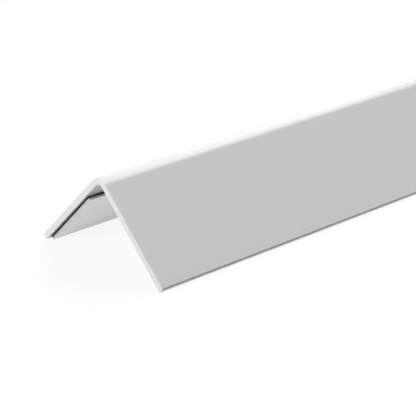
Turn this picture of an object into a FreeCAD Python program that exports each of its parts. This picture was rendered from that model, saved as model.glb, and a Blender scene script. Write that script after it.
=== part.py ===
import FreeCAD, Part
import math
import os

# Corner guard moulding: an extruded angle with a rounded nose, sawn square from long stock,
# with a strip of foam tape under a release liner inside each leg.
# It lies on the tips of its two legs with the nose up.
# X runs along the stock, Y across it and Z up. The origin is on the floor under the middle of the piece.
# Lengths are in millimetres and angles in degrees.

# The extruded section
STOCK_LENGTH = 1000.0
CORNER_ANGLE = 90.0  # between the two legs
LEG_WIDTH = 30.0  # outer face, from the ridge where the two outer faces would meet to the tip
WALL = 1.5  # the same in both legs and round the nose
NOSE_INNER_RADIUS = 1.5  # in the hollow of the bend
TIP_RADIUS = 0.25  # on both edges of a leg's square tip

# The tape and its liner
TAPE_WIDTH = 20.0
FOAM_THICKNESS = 0.5
LINER_THICKNESS = 0.5
TAPE_FLOOR_CLEARANCE = 0.1  # under the strip's lower edge when the tips lie on a floor
TAPE_END_SETBACK = 0.8  # bare plastic between the strip and each sawn end

# What follows from those sizes
NOSE_OUTER_RADIUS = NOSE_INNER_RADIUS + WALL
STRIP_THICKNESS = FOAM_THICKNESS + LINER_THICKNESS
HALF_ANGLE = math.radians(CORNER_ANGLE / 2)
FALL = math.cos(HALF_ANGLE)  # height lost per millimetre down a leg
SPREAD = math.sin(HALF_ANGLE)  # distance gained sideways per millimetre down a leg
# The ridge stands so high that the rounded tips just touch the floor.
RIDGE_HEIGHT = (
    (LEG_WIDTH - TIP_RADIUS) * FALL
    + (WALL - TIP_RADIUS) * SPREAD
    + TIP_RADIUS
)
# Distances down a leg from the ridge at which the strip's free corner clears the floor, and at which it starts.
STRIP_END = (RIDGE_HEIGHT - TAPE_FLOOR_CLEARANCE - (WALL + STRIP_THICKNESS) * SPREAD) / FALL
STRIP_START = STRIP_END - TAPE_WIDTH

FRONT = -1  # the leg on the -Y side
BACK = 1  # the leg on the +Y side
SAME_PLACE = 1e-6


def section_point(side, along, depth):
    """A point of the section, so far down a leg's outer face from the ridge and so deep behind that face."""
    y = side * (along * SPREAD - depth * FALL)
    z = RIDGE_HEIGHT - along * FALL - depth * SPREAD
    return FreeCAD.Vector(0, y, z)


def extruded(corners, setback):
    """The solid of a section outline, run along the stock to a setback from each sawn end."""
    start = FreeCAD.Vector(setback - STOCK_LENGTH / 2, 0, 0)
    run = FreeCAD.Vector(STOCK_LENGTH - 2 * setback, 0, 0)
    outline = [corner + start for corner in corners]
    return Part.Face(Part.makePolygon(outline + outline[:1])).extrude(run)


def rounded(solid, corners, radius):
    """The solid with the long edges through these corners of its section rounded."""

    def runs_through(edge, corner):
        return all(
            math.hypot(vertex.Y - corner.y, vertex.Z - corner.z) < SAME_PLACE
            for vertex in edge.Vertexes
        )

    edges = [edge for edge in solid.Edges if any(runs_through(edge, corner) for corner in corners)]
    return solid.makeFillet(radius, edges)


def corner_profile():
    """Both legs and the nose: a sharp angle whose edges are then rounded as the die rounds them."""
    ridge = section_point(BACK, 0, 0)
    hollow = section_point(BACK, WALL * FALL / SPREAD, WALL)
    outer_tips = [section_point(side, LEG_WIDTH, 0) for side in (FRONT, BACK)]
    inner_tips = [section_point(side, LEG_WIDTH, WALL) for side in (FRONT, BACK)]
    outline = [ridge, outer_tips[1], inner_tips[1], hollow, inner_tips[0], outer_tips[0]]
    angle = extruded(outline, 0)
    angle = rounded(angle, [ridge], NOSE_OUTER_RADIUS)
    angle = rounded(angle, [hollow], NOSE_INNER_RADIUS)
    return rounded(angle, outer_tips + inner_tips, TIP_RADIUS)


def strip(side, depth, thickness):
    """One flat layer inside a leg, lying between two depths behind its outer face."""
    outline = [
        section_point(side, STRIP_START, depth),
        section_point(side, STRIP_END, depth),
        section_point(side, STRIP_END, depth + thickness),
        section_point(side, STRIP_START, depth + thickness),
    ]
    return extruded(outline, TAPE_END_SETBACK)


pieces = {"corner_profile": corner_profile()}
for name, side in (("front", FRONT), ("back", BACK)):
    pieces["foam_tape_" + name] = strip(side, WALL, FOAM_THICKNESS)
    pieces["release_liner_" + name] = strip(side, WALL + FOAM_THICKNESS, LINER_THICKNESS)

os.makedirs("parts", exist_ok=True)
for name, shape in pieces.items():
    shape.exportStep("parts/" + name + ".step")
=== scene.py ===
import math

import bpy
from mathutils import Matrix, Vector


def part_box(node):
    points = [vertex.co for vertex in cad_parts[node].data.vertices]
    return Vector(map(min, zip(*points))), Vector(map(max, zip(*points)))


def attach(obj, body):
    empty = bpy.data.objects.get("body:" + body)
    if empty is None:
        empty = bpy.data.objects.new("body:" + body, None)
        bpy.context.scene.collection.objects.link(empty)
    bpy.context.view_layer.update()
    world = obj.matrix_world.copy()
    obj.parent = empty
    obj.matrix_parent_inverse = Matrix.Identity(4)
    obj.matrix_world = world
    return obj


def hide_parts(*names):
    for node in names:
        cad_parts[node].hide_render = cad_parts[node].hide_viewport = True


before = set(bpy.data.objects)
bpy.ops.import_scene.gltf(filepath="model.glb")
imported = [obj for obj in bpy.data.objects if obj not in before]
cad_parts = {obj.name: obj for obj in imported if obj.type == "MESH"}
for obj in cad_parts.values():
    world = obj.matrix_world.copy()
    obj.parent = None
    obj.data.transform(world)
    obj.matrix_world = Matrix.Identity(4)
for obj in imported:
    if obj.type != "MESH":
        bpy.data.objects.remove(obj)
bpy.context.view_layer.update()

# A white corner guard, lying on the tips of its two legs with the nose up.
# Inside each leg is a strip of foam tape under a release liner.
# X runs along the stock, Y across it and Z up.

# Sizes, in metres
MM = 0.001
NEAR_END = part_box("corner_profile")[0].x
STOCK_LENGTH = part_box("corner_profile")[1].x - NEAR_END
LEG_WIDTH = 30 * MM  # outer face, from the ridge where the two outer faces would meet to the tip
WALL = 1.5 * MM
NOSE_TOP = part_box("corner_profile")[1].z
NOSE_REACH = 3.5 * MM  # down a leg from the ridge; the solid's plain arc ends at 3 mm
NOSE_INNER_RADIUS = 1.5 * MM
TIP_RADIUS = 0.25 * MM
SAW_EDGE = 0.07 * MM  # broken edge round each sawn end
STRIP_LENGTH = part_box("foam_tape_back")[1].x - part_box("foam_tape_back")[0].x
STRIP_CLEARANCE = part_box("release_liner_back")[0].z  # between the strip's lowest edge and the floor
TAPE_WIDTH = 20 * MM
FOAM_THICKNESS = 0.5 * MM
FOAM_EDGE = 0.08 * MM  # radius on the foam's edges
LINER_THICKNESS = 0.5 * MM
LINER_EDGE = 0.03 * MM  # radius on the liner's edges

# Both legs run down from the ridge at the same angle.
LEG_ANGLE = math.radians(45)
SLOPE = math.sqrt(0.5)  # height lost, and distance gained sideways, for each metre down a leg
RIDGE_HEIGHT = (LEG_WIDTH + WALL - 2 * TIP_RADIUS) * SLOPE + TIP_RADIUS
STRIP_END = (RIDGE_HEIGHT - STRIP_CLEARANCE) / SLOPE - WALL - FOAM_THICKNESS - LINER_THICKNESS
STRIP_MIDDLE = STRIP_END - TAPE_WIDTH / 2  # down a leg from the ridge
FRONT = -1  # the leg on the -Y side
BACK = 1  # the leg on the +Y side
INWARD = Vector((0, -SLOPE, -SLOPE))  # into the hollow from the back leg

# How the edges are rounded, and what counts as the same
NOSE_STEPS = 28
HOLLOW_STEPS = 16
TIP_STEPS = 6
SAW_EDGE_STEPS = 2
STRIP_EDGE_STEPS = 3
PLAIN_ARC = 0.5  # a bevel's profile value for an arc of a circle
NOSE_CURVE = (1 - (RIDGE_HEIGHT - NOSE_TOP) * SLOPE / NOSE_REACH) ** 2  # full enough to reach the nose's top
SMOOTH_ANGLE = math.radians(35)  # what meets at more stays a sharp edge
FLAT_ANGLE = math.radians(1)  # what meets at less is one face
SAME_PLACE = 0.002 * MM
SAME_WAY = 0.9  # least cosine between a face's normal and the way that it faces


def section_point(side, along, depth):
    """A point of the section, so far down a leg's outer face from the ridge and so deep behind that face."""
    return Vector((0, side * (along - depth) * SLOPE, RIDGE_HEIGHT - (along + depth) * SLOPE))


def linear(hex_colour):
    """An sRGB hex colour as the linear colour that a shader takes."""
    parts = [int(hex_colour[i : i + 2], 16) / 255 for i in (1, 3, 5)]
    return (*[c / 12.92 if c <= 0.04045 else ((c + 0.055) / 1.055) ** 2.4 for c in parts], 1)


def add_node(tree, kind, inputs=None, **settings):
    """Adds a node with its settings. Each input takes a value or another node's output."""
    made = tree.nodes.new(kind)
    for name, value in settings.items():
        setattr(made, name, value)
    for socket, value in (inputs or {}).items():
        if isinstance(value, bpy.types.NodeSocket):
            tree.links.new(value, made.inputs[socket])
        else:
            made.inputs[socket].default_value = value
    return made


def new_material(name):
    """An empty material and its node tree."""
    material = bpy.data.materials.new(name)
    material.use_nodes = True
    material.node_tree.nodes.clear()
    return material, material.node_tree


# Modelling


def pick(piece, kind, test):
    """Edit mode on the piece with only the edges or faces selected that pass the test."""
    if piece.mode == "EDIT":
        bpy.ops.object.mode_set(mode="OBJECT")
    mesh = piece.data
    bpy.context.tool_settings.mesh_select_mode = (False, kind == "EDGE", kind == "FACE")
    for group in (mesh.vertices, mesh.edges, mesh.polygons):
        group.foreach_set("select", [False] * len(group))
    for part in mesh.edges if kind == "EDGE" else mesh.polygons:
        part.select = test(part, [mesh.vertices[i].co for i in part.vertices])
    bpy.ops.object.mode_set(mode="EDIT")


def runs_through(corners):
    """A test for the long edges that run through these corners of the section."""

    def test(edge, points):
        return any(
            all((Vector((0, p.y, p.z)) - corner).length < SAME_PLACE for p in points) for corner in corners
        )

    return test


def lies_in_end(part, points):
    """True for what lies in one of the two sawn ends."""
    return all(abs(abs(p.x) - STOCK_LENGTH / 2) < SAME_PLACE for p in points)


def faces_way(face, way):
    """True for a face whose normal points that way."""
    return face.normal.dot(way) > SAME_WAY


def start_block(name, size, place, turn):
    """A box of that size at its place, turned about X, with its place in its mesh."""
    bpy.ops.object.select_all(action="DESELECT")
    bpy.ops.mesh.primitive_cube_add(size=1, location=place, rotation=(turn, 0, 0))
    block = bpy.context.object
    block.name = name
    block.scale = size
    bpy.ops.object.transform_apply(location=True, rotation=True, scale=True)
    return block


def round_edges(reach, steps, curve=PLAIN_ARC):
    """Rounds the selected edges, over that reach on both sides."""
    bpy.ops.mesh.bevel(offset=reach, segments=steps, profile=curve, affect="EDGES", clamp_overlap=False)


def paint(piece, materials, test):
    """Gives the piece its materials: the first all over, and the last on the faces that pass the test."""
    for material in materials:
        piece.data.materials.append(material)
    pick(piece, "FACE", test)
    piece.active_material_index = len(materials) - 1
    bpy.ops.object.material_slot_assign()
    bpy.ops.object.mode_set(mode="OBJECT")


def smooth_curves(piece):
    """Smooth round edges and flat faces that stay flat."""
    bpy.ops.object.shade_smooth_by_angle(angle=SMOOTH_ANGLE)
    flat = piece.modifiers.new("flat_faces", "WEIGHTED_NORMAL")
    flat.keep_sharp = True
    bpy.ops.object.modifier_apply(modifier=flat.name)


def model_profile(extruded, sawn):
    """The extruded angle: a square corner block, both legs pulled out of it, and every edge rounded."""
    piece = start_block(
        "corner_profile_body",
        (STOCK_LENGTH, WALL, WALL),
        section_point(BACK, WALL / 2, WALL / 2),
        LEG_ANGLE,
    )
    block_foot = RIDGE_HEIGHT - 2 * WALL  # the inner face of a leg that is already there goes lower
    for side in (FRONT, BACK):
        down = Vector((0, side * SLOPE, -SLOPE))
        pick(
            piece,
            "FACE",
            lambda face, points: faces_way(face, down) and min(p.z for p in points) > block_foot,
        )
        bpy.ops.mesh.extrude_region_move(TRANSFORM_OT_translate={"value": down * (LEG_WIDTH - WALL)})
    bpy.ops.mesh.select_all(action="SELECT")
    bpy.ops.mesh.dissolve_limited(angle_limit=FLAT_ANGLE)
    ridge = [section_point(BACK, 0, 0)]
    hollow = [section_point(BACK, WALL, WALL)]
    tips = [section_point(side, LEG_WIDTH, depth) for side in (FRONT, BACK) for depth in (0, WALL)]
    for corners, reach, steps, curve in (
        (ridge, NOSE_REACH, NOSE_STEPS, NOSE_CURVE),
        (hollow, NOSE_INNER_RADIUS, HOLLOW_STEPS, PLAIN_ARC),
        (tips, TIP_RADIUS, TIP_STEPS, PLAIN_ARC),
    ):
        pick(piece, "EDGE", runs_through(corners))
        round_edges(reach, steps, curve)
    pick(piece, "EDGE", lies_in_end)
    round_edges(SAW_EDGE, SAW_EDGE_STEPS)
    paint(piece, [extruded, sawn], lies_in_end)
    smooth_curves(piece)
    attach(piece, "root")
    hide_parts("corner_profile")


def model_strip(name, depth, thickness, edge, materials):
    """One layer of the tape inside the back leg, and its copy inside the front leg.
    The first material is on its two broad faces and the last on its slit edges and cut ends."""
    piece = start_block(
        name + "_back_piece",
        (STRIP_LENGTH, TAPE_WIDTH, thickness),
        section_point(BACK, STRIP_MIDDLE, depth + thickness / 2),
        -LEG_ANGLE,
    )
    bpy.ops.object.mode_set(mode="EDIT")
    bpy.ops.mesh.select_all(action="SELECT")
    round_edges(edge, STRIP_EDGE_STEPS)
    paint(
        piece,
        materials,
        lambda face, points: not (faces_way(face, INWARD) or faces_way(face, -INWARD)),
    )
    smooth_curves(piece)
    bpy.ops.object.duplicate()
    other = bpy.context.object
    other.name = name + "_front_piece"
    bpy.ops.transform.rotate(value=math.pi, orient_axis="Z", center_override=(0, 0, 0))
    bpy.ops.object.transform_apply(location=True, rotation=True, scale=True)
    for strip, node in ((piece, name + "_back"), (other, name + "_front")):
        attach(strip, "root")
        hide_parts(node)


# Materials

PVC_IOR = 1.53
PAPER_IOR = 1.5
FOAM_IOR = 1.5  # of polyethylene
NOISE_LOW = 0.3  # most values of a noise texture lie between this one and the next
NOISE_HIGH = 0.7


def extruded_pvc():
    """Rigid white PVC as it left the die. It is satin, with a soft highlight on the nose, very faint lines
    drawn along the stock by the die, and patches of slightly different gloss. Light sinks a little way
    into the plastic. The fine steps of the tips' rounding lose light by that in the render, which gives
    the dark line along the floor."""
    line_spacing = 0.7 * MM  # real lines are about 0.2 mm apart, too fine to show
    line_length = 400 * MM
    line_depth = 0.005 * MM  # deepened with the spacing
    patch_width = 9 * MM
    patch_length = 70 * MM
    glossiest = 0.3  # roughness
    dullest = 0.37
    light_depth = 0.3 * MM
    light_share = 0.65  # of the light sinks in
    material, tree = new_material("extruded_satin_pvc")
    place = add_node(tree, "ShaderNodeTexCoord").outputs["Object"]
    drawn = add_node(
        tree,
        "ShaderNodeMapping",
        {"Vector": place, "Scale": (1 / line_length, 1 / line_spacing, 1 / line_spacing)},
    )
    lines = add_node(
        tree,
        "ShaderNodeTexNoise",
        {"Vector": drawn.outputs[0], "Scale": 1.0, "Detail": 2.0, "Roughness": 0.55},
    )
    spread = add_node(
        tree,
        "ShaderNodeMapping",
        {"Vector": place, "Scale": (1 / patch_length, 1 / patch_width, 1 / patch_width)},
    )
    patches = add_node(
        tree,
        "ShaderNodeTexNoise",
        {"Vector": spread.outputs[0], "Scale": 1.0, "Detail": 3.0, "Roughness": 0.5},
    )
    tone = add_node(
        tree,
        "ShaderNodeMix",
        {"Factor": lines.outputs[0], "A": linear("#ECECEC"), "B": linear("#F0F0F0")},
        data_type="RGBA",
    )
    roughness = add_node(
        tree,
        "ShaderNodeMapRange",
        {
            "Value": patches.outputs[0],
            "From Min": NOISE_LOW,
            "From Max": NOISE_HIGH,
            "To Min": glossiest,
            "To Max": dullest,
        },
    )
    relief = add_node(
        tree, "ShaderNodeBump", {"Height": lines.outputs[0], "Strength": 1.0, "Distance": line_depth}
    )
    shader = add_node(
        tree,
        "ShaderNodeBsdfPrincipled",
        {
            "Base Color": tone.outputs["Result"],
            "Roughness": roughness.outputs[0],
            "IOR": PVC_IOR,
            "Normal": relief.outputs[0],
            "Subsurface Weight": light_share,
            "Subsurface Radius": (1, 1, 1),  # all colours alike
            "Subsurface Scale": light_depth,
        },
    )
    add_node(tree, "ShaderNodeOutputMaterial", {"Surface": shader.outputs["BSDF"]})
    return material


def sawn_pvc():
    """The same PVC where a saw went through. It is duller and a little darker than the extruded skin,
    with fine arcs from the saw's teeth."""
    arc_pitch = 0.45 * MM  # real teeth leave arcs about 0.1 mm apart, too fine to show
    arc_depth = 0.012 * MM
    blade_centre = Vector((0, -90 * MM, -60 * MM))
    crumb_size = 0.25 * MM  # coarser than real ones for the same reason
    rings_at_scale_one = 20 / (2 * math.pi)  # that the wave texture draws in one metre
    dullest = 0.62  # roughness
    glossiest = 0.5
    material, tree = new_material("sawn_pvc")
    place = add_node(tree, "ShaderNodeTexCoord").outputs["Object"]
    centred = add_node(tree, "ShaderNodeMapping", {"Vector": place, "Location": -blade_centre})
    arcs = add_node(
        tree,
        "ShaderNodeTexWave",
        {
            "Vector": centred.outputs[0],
            "Scale": 1 / (arc_pitch * rings_at_scale_one),
            "Distortion": 1.5,
            "Detail": 2.0,
            "Detail Scale": 0.6,
        },
        wave_type="RINGS",
        rings_direction="X",
    )
    crumbs = add_node(tree, "ShaderNodeTexNoise", {"Vector": place, "Scale": 1 / crumb_size, "Detail": 3.0})
    marks = add_node(
        tree, "ShaderNodeMath", {0: arcs.outputs["Fac"], 1: crumbs.outputs[0]}, operation="MULTIPLY"
    )
    tone = add_node(
        tree,
        "ShaderNodeMix",
        {"Factor": marks.outputs[0], "A": linear("#E6E6E6"), "B": linear("#F0F0F0")},
        data_type="RGBA",
    )
    roughness = add_node(
        tree, "ShaderNodeMapRange", {"Value": marks.outputs[0], "To Min": dullest, "To Max": glossiest}
    )
    relief = add_node(
        tree, "ShaderNodeBump", {"Height": marks.outputs[0], "Strength": 0.6, "Distance": arc_depth}
    )
    shader = add_node(
        tree,
        "ShaderNodeBsdfPrincipled",
        {
            "Base Color": tone.outputs["Result"],
            "Roughness": roughness.outputs[0],
            "IOR": PVC_IOR,
            "Normal": relief.outputs[0],
        },
    )
    add_node(tree, "ShaderNodeOutputMaterial", {"Surface": shader.outputs["BSDF"]})
    return material


def black_foam():
    """Black polyethylene foam, slit by a knife. The cut leaves its closed cells open as tiny dull pits.
    Each cell is painted darker towards its middle as shade in its pit, and paler at its rim, so it looks
    sooty and has no highlight."""
    cell_size = 0.2 * MM
    cell_depth = 0.06 * MM
    material, tree = new_material("slit_polyethylene_foam")
    place = add_node(tree, "ShaderNodeTexCoord").outputs["Object"]
    cells = add_node(tree, "ShaderNodeTexVoronoi", {"Vector": place, "Scale": 1 / cell_size}, feature="F1")
    # painted shade: each cell darkens towards its middle, where the bump puts the bottom of its pit
    tone = add_node(
        tree,
        "ShaderNodeMix",
        {"Factor": cells.outputs["Distance"], "A": linear("#121213"), "B": linear("#3E3E3F")},
        data_type="RGBA",
    )
    relief = add_node(
        tree, "ShaderNodeBump", {"Height": cells.outputs["Distance"], "Strength": 1.0, "Distance": cell_depth}
    )
    shader = add_node(
        tree,
        "ShaderNodeBsdfPrincipled",
        {
            "Base Color": tone.outputs["Result"],
            "Roughness": 0.85,
            "IOR": FOAM_IOR,
            "Normal": relief.outputs[0],
        },
    )
    add_node(tree, "ShaderNodeOutputMaterial", {"Surface": shader.outputs["BSDF"]})
    return material


def liner_face():
    """White kraft paper with a silicone coat. The coat gives an even gloss, and the fibres under it show
    as a faint cloudy grain."""
    fibre_width = 0.25 * MM  # real fibres are about 0.03 mm wide, too fine to show
    fibre_length = 2.5 * MM
    fibre_depth = 0.006 * MM
    cloud_size = 4 * MM
    glossiest = 0.2  # roughness
    dullest = 0.3
    coat_ior = 1.5  # silicone has about 1.42; this mirrors a little more of the white floor
    material, tree = new_material("silicone_coated_paper")
    place = add_node(tree, "ShaderNodeTexCoord").outputs["Object"]
    combed = add_node(
        tree,
        "ShaderNodeMapping",
        {"Vector": place, "Scale": (1 / fibre_length, 1 / fibre_width, 1 / fibre_width)},
    )
    fibres = add_node(
        tree,
        "ShaderNodeTexNoise",
        {"Vector": combed.outputs[0], "Scale": 1.0, "Detail": 3.0, "Distortion": 0.6},
    )
    clouds = add_node(tree, "ShaderNodeTexNoise", {"Vector": place, "Scale": 1 / cloud_size, "Detail": 3.0})
    grain = add_node(
        tree, "ShaderNodeMath", {0: fibres.outputs[0], 1: clouds.outputs[0]}, operation="MULTIPLY"
    )
    tone = add_node(
        tree,
        "ShaderNodeMix",
        {"Factor": grain.outputs[0], "A": linear("#E9E9E7"), "B": linear("#F6F6F4")},
        data_type="RGBA",
    )
    roughness = add_node(
        tree, "ShaderNodeMapRange", {"Value": clouds.outputs[0], "To Min": glossiest, "To Max": dullest}
    )
    relief = add_node(
        tree, "ShaderNodeBump", {"Height": fibres.outputs[0], "Strength": 0.3, "Distance": fibre_depth}
    )
    shader = add_node(
        tree,
        "ShaderNodeBsdfPrincipled",
        {
            "Base Color": tone.outputs["Result"],
            "Roughness": roughness.outputs[0],
            "IOR": PAPER_IOR,
            "Normal": relief.outputs[0],
            "Coat Weight": 1.0,
            "Coat Roughness": 0.12,
            "Coat IOR": coat_ior,
        },
    )
    add_node(tree, "ShaderNodeOutputMaterial", {"Surface": shader.outputs["BSDF"]})
    return material


def liner_edge():
    """The bare paper at the liner's slit edges. It has no coat, so it is grey and dull, in thin layers."""
    layer_thickness = 0.12 * MM  # real layers are thinner than 0.05 mm, too fine to show
    layer_length = 6 * MM
    layer_depth = 0.012 * MM
    material, tree = new_material("slit_paper_edge")
    place = add_node(tree, "ShaderNodeTexCoord").outputs["Object"]
    pressed = add_node(
        tree,
        "ShaderNodeMapping",
        {"Vector": place, "Scale": (1 / layer_length, 1 / layer_thickness, 1 / layer_thickness)},
    )
    layers = add_node(tree, "ShaderNodeTexNoise", {"Vector": pressed.outputs[0], "Scale": 1.0, "Detail": 4.0})
    tone = add_node(
        tree,
        "ShaderNodeMix",
        {"Factor": layers.outputs[0], "A": linear("#B8B8B6"), "B": linear("#D0D0CE")},
        data_type="RGBA",
    )
    relief = add_node(
        tree, "ShaderNodeBump", {"Height": layers.outputs[0], "Strength": 0.5, "Distance": layer_depth}
    )
    shader = add_node(
        tree,
        "ShaderNodeBsdfPrincipled",
        {
            "Base Color": tone.outputs["Result"],
            "Roughness": 0.8,
            "IOR": PAPER_IOR,
            "Normal": relief.outputs[0],
        },
    )
    add_node(tree, "ShaderNodeOutputMaterial", {"Surface": shader.outputs["BSDF"]})
    return material


model_profile(extruded_pvc(), sawn_pvc())
model_strip("foam_tape", WALL, FOAM_THICKNESS, FOAM_EDGE, [black_foam()])
model_strip(
    "release_liner",
    WALL + FOAM_THICKNESS,
    LINER_THICKNESS,
    LINER_EDGE,
    [liner_face(), liner_edge()],
)

# Floor, light and camera

FLOOR_SIZE = 12.0  # in metres
FLOOR_WHITE_SHARE = 0.85  # of plain white in the floor as the camera sees it; the rest keeps the shadow
FLOOR_WHITE = 1.05  # brings that mixture up to white where the floor is fully lit
SKY_LEVEL = 0.105
# Each lamp's name, the direction towards it, its strength and how wide it looks, in degrees.
# The key lights the near end. The others are a strip light over the far end, in three parts along an arc,
# which the nose mirrors to the camera.
LAMPS = (
    ("key", (-0.89, 0.06, 0.45), 1.93, 34),
    ("strip_low", (0.64, 0.71, 0.29), 0.22, 26),
    ("strip_middle", (0.64, 0.44, 0.63), 0.62, 22),
    ("strip_high", (0.62, -0.01, 0.785), 1.12, 24),
)
CAMERA_PLACE = (NEAR_END - 211.84 * MM, -265.20 * MM, 152.58 * MM)
CAMERA_AZIMUTH = math.radians(47.283)  # from the stock's direction
CAMERA_FALL = math.radians(22.277)  # below level
CAMERA_LENS = 141.72  # in millimetres, as the sensor is
SENSOR_WIDTH = 36
NEAREST_SEEN = 10 * MM
FARTHEST_SEEN = 50.0  # in metres


def background_seen(tree):
    """One for the rays that show the background: from the camera, a reflection or through glass."""
    path = add_node(tree, "ShaderNodeLightPath").outputs
    straight = add_node(
        tree, "ShaderNodeMath", {0: path["Is Camera Ray"], 1: path["Is Glossy Ray"]}, operation="MAXIMUM"
    )
    every = add_node(
        tree, "ShaderNodeMath", {0: straight.outputs[0], 1: path["Is Transmission Ray"]}, operation="MAXIMUM"
    )
    return every.outputs[0]


def build_floor():
    """A pale matt floor that goes over into white for the camera and keeps the shadow."""
    bpy.ops.object.select_all(action="DESELECT")
    bpy.ops.mesh.primitive_plane_add(size=FLOOR_SIZE)
    floor = bpy.context.object
    floor.name = "floor"
    material, tree = new_material("pale_floor")
    share = add_node(
        tree, "ShaderNodeMath", {0: background_seen(tree), 1: FLOOR_WHITE_SHARE}, operation="MULTIPLY"
    )
    matt = add_node(tree, "ShaderNodeBsdfDiffuse", {"Color": linear("#F2F2F2")})
    white = add_node(tree, "ShaderNodeEmission", {"Color": linear("#FFFFFF"), "Strength": FLOOR_WHITE})
    both = add_node(
        tree, "ShaderNodeMixShader", {0: share.outputs[0], 1: matt.outputs[0], 2: white.outputs[0]}
    )
    add_node(tree, "ShaderNodeOutputMaterial", {"Surface": both.outputs[0]})
    floor.data.materials.append(material)


def build_sky():
    """Even light from all round, and a white background."""
    world = bpy.data.worlds.new("soft_sky")
    bpy.context.scene.world = world
    world.use_nodes = True
    tree = world.node_tree
    tree.nodes.clear()
    strength = add_node(
        tree, "ShaderNodeMapRange", {"Value": background_seen(tree), "To Min": SKY_LEVEL, "To Max": 1.0}
    )
    sky = add_node(
        tree, "ShaderNodeBackground", {"Color": linear("#FFFFFF"), "Strength": strength.outputs[0]}
    )
    add_node(tree, "ShaderNodeOutputWorld", {"Surface": sky.outputs[0]})


def add_sun(name, towards, strength, angle):
    """A soft lamp far away in that direction."""
    lamp = bpy.data.lights.new(name, "SUN")
    lamp.energy = strength
    lamp.angle = math.radians(angle)
    sun = bpy.data.objects.new(name, lamp)
    sun.rotation_euler = Vector(towards).to_track_quat("Z", "Y").to_euler()
    bpy.context.scene.collection.objects.link(sun)


def add_camera():
    """A camera without roll, before and beside the near end, looking down across it."""
    data = bpy.data.cameras.new("camera")
    data.sensor_width = SENSOR_WIDTH
    data.lens = CAMERA_LENS
    data.clip_start = NEAREST_SEEN
    data.clip_end = FARTHEST_SEEN
    camera = bpy.data.objects.new("camera", data)
    bpy.context.scene.collection.objects.link(camera)
    ahead = math.cos(CAMERA_FALL)
    look = Vector(
        (
            math.cos(CAMERA_AZIMUTH) * ahead,
            math.sin(CAMERA_AZIMUTH) * ahead,
            -math.sin(CAMERA_FALL),
        )
    )
    camera.location = CAMERA_PLACE
    camera.rotation_euler = look.to_track_quat("-Z", "Y").to_euler()
    bpy.context.scene.camera = camera


build_floor()
build_sky()
for lamp in LAMPS:
    add_sun(*lamp)
add_camera()
bpy.context.scene.view_settings.view_transform = "Standard"
